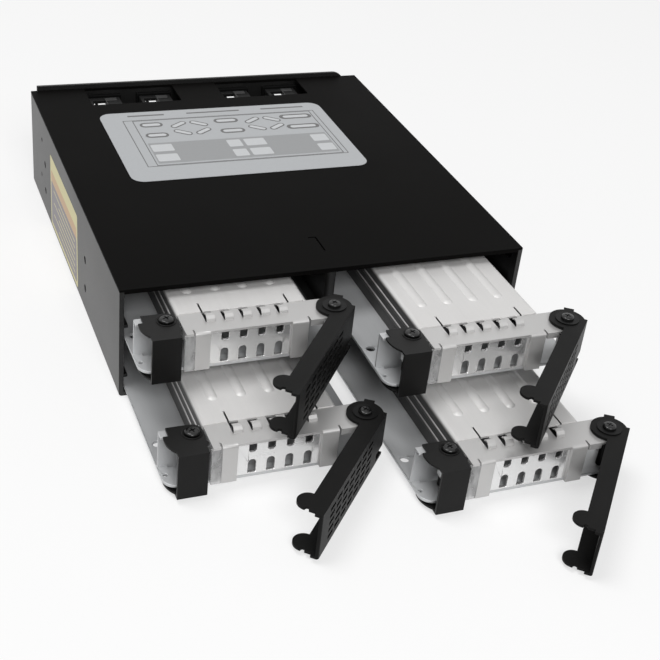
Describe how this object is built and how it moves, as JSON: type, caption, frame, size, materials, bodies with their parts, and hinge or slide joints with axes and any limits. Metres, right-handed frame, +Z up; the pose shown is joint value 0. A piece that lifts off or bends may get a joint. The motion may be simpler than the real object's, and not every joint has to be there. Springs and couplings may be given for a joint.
{
  "type": "hot swap drive cage",
  "caption": "Hot swap drive cage for a half-height drive bay: sliding carriers with swing-out levers and thumb latches in a black steel shell with a rear backplane.",
  "frame": {"origin": "middle of the cage's underside, halfway between its sides and between its open front and its back", "axes": "+X to the right seen from the open front, +Y from the open front to the back, +Z up"},
  "size_m": [0.1478, 0.2868, 0.0433],
  "materials": {
    "cage_paint": "black satin powder coat",
    "tray_steel": "bright zinc-coated sheet",
    "cover_steel": "bright zinc-coated sheet, pressed ribs",
    "front_paint": "light grey satin",
    "lever_plastic": "dark grey-green, fine texture",
    "latch_plastic": "dark grey, fine texture",
    "pin_steel": "black oxide",
    "spring_steel": "bright wire",
    "clear_plastic": "clear moulded plastic",
    "rail_plastic": "black, self-lubricating",
    "board_resin": "green solder mask",
    "socket_plastic": "black",
    "clip_steel": "bright strip",
    "zinc_steel": "zinc plated"
  },
  "bodies": {
    "cage": {"cage_base": "cage_paint", "top_cover": "cage_paint", "centre_divider": "cage_paint", "rear_plate": "cage_paint", "backplane_board": "board_resin", "power_socket": "socket_plastic", "cable_sockets": "socket_plastic", "socket_clips": "clip_steel", "board_spacers": "zinc_steel", "board_screws": "zinc_steel", "rear_screws": "pin_steel", "drive_socket_1": "socket_plastic", "guide_rails_1": "rail_plastic", "drive_socket_2": "socket_plastic", "guide_rails_2": "rail_plastic", "drive_socket_3": "socket_plastic", "guide_rails_3": "rail_plastic", "drive_socket_4": "socket_plastic", "guide_rails_4": "rail_plastic"},
    "carrier_1": {"carrier_1_tray": "tray_steel", "carrier_1_cover": "cover_steel", "carrier_1_front": "front_paint", "carrier_1_vent_panel": "front_paint", "carrier_1_light_pipe": "clear_plastic", "carrier_1_lever_pin": "pin_steel", "carrier_1_latch_pin": "pin_steel"},
    "lever_1": {"carrier_1_lever": "lever_plastic"},
    "latch_1": {"carrier_1_latch": "latch_plastic", "carrier_1_latch_spring": "spring_steel"},
    "carrier_2": {"carrier_2_tray": "tray_steel", "carrier_2_cover": "cover_steel", "carrier_2_front": "front_paint", "carrier_2_vent_panel": "front_paint", "carrier_2_light_pipe": "clear_plastic", "carrier_2_lever_pin": "pin_steel", "carrier_2_latch_pin": "pin_steel"},
    "lever_2": {"carrier_2_lever": "lever_plastic"},
    "latch_2": {"carrier_2_latch": "latch_plastic", "carrier_2_latch_spring": "spring_steel"},
    "carrier_3": {"carrier_3_tray": "tray_steel", "carrier_3_cover": "cover_steel", "carrier_3_front": "front_paint", "carrier_3_vent_panel": "front_paint", "carrier_3_light_pipe": "clear_plastic", "carrier_3_lever_pin": "pin_steel", "carrier_3_latch_pin": "pin_steel"},
    "lever_3": {"carrier_3_lever": "lever_plastic"},
    "latch_3": {"carrier_3_latch": "latch_plastic", "carrier_3_latch_spring": "spring_steel"},
    "carrier_4": {"carrier_4_tray": "tray_steel", "carrier_4_cover": "cover_steel", "carrier_4_front": "front_paint", "carrier_4_vent_panel": "front_paint", "carrier_4_light_pipe": "clear_plastic", "carrier_4_lever_pin": "pin_steel", "carrier_4_latch_pin": "pin_steel"},
    "lever_4": {"carrier_4_lever": "lever_plastic"},
    "latch_4": {"carrier_4_latch": "latch_plastic", "carrier_4_latch_spring": "spring_steel"}
  },
  "joints": [
    {"name": "carrier_1_slide", "type": "slide", "parent": "cage", "child": "carrier_1", "axis": [0, -1, 0], "range_m": [-0.0106, 0.1094]},
    {"name": "lever_1_hinge", "type": "hinge", "parent": "carrier_1", "child": "lever_1", "pos_m": [-0.006, -0.0995, 0.0297], "axis": [0, 0, 1], "range_deg": [-51, 39]},
    {"name": "latch_1_hinge", "type": "hinge", "parent": "carrier_1", "child": "latch_1", "pos_m": [-0.0616, -0.0968, 0.0297], "axis": [0, 0, 1], "range_deg": [-6, 0], "stiffness_Nm_per_rad": 0.02},
    {"name": "carrier_2_slide", "type": "slide", "parent": "cage", "child": "carrier_2", "axis": [0, -1, 0], "range_m": [-0.0348, 0.0852]},
    {"name": "lever_2_hinge", "type": "hinge", "parent": "carrier_2", "child": "lever_2", "pos_m": [0.068, -0.1237, 0.0297], "axis": [0, 0, 1], "range_deg": [-47, 43]},
    {"name": "latch_2_hinge", "type": "hinge", "parent": "carrier_2", "child": "latch_2", "pos_m": [0.0124, -0.121, 0.0297], "axis": [0, 0, 1], "range_deg": [-6, 0], "stiffness_Nm_per_rad": 0.02},
    {"name": "carrier_3_slide", "type": "slide", "parent": "cage", "child": "carrier_3", "axis": [0, -1, 0], "range_m": [-0.0433, 0.0767]},
    {"name": "lever_3_hinge", "type": "hinge", "parent": "carrier_3", "child": "lever_3", "pos_m": [-0.006, -0.1322, 0.01], "axis": [0, 0, 1], "range_deg": [-48, 42]},
    {"name": "latch_3_hinge", "type": "hinge", "parent": "carrier_3", "child": "latch_3", "pos_m": [-0.0616, -0.1295, 0.01], "axis": [0, 0, 1], "range_deg": [-6, 0], "stiffness_Nm_per_rad": 0.02},
    {"name": "carrier_4_slide", "type": "slide", "parent": "cage", "child": "carrier_4", "axis": [0, -1, 0], "range_m": [-0.0695, 0.0505]},
    {"name": "lever_4_hinge", "type": "hinge", "parent": "carrier_4", "child": "lever_4", "pos_m": [0.068, -0.1584, 0.01], "axis": [0, 0, 1], "range_deg": [-50, 40]},
    {"name": "latch_4_hinge", "type": "hinge", "parent": "carrier_4", "child": "latch_4", "pos_m": [0.0124, -0.1557, 0.01], "axis": [0, 0, 1], "range_deg": [-6, 0], "stiffness_Nm_per_rad": 0.02}
  ]
}
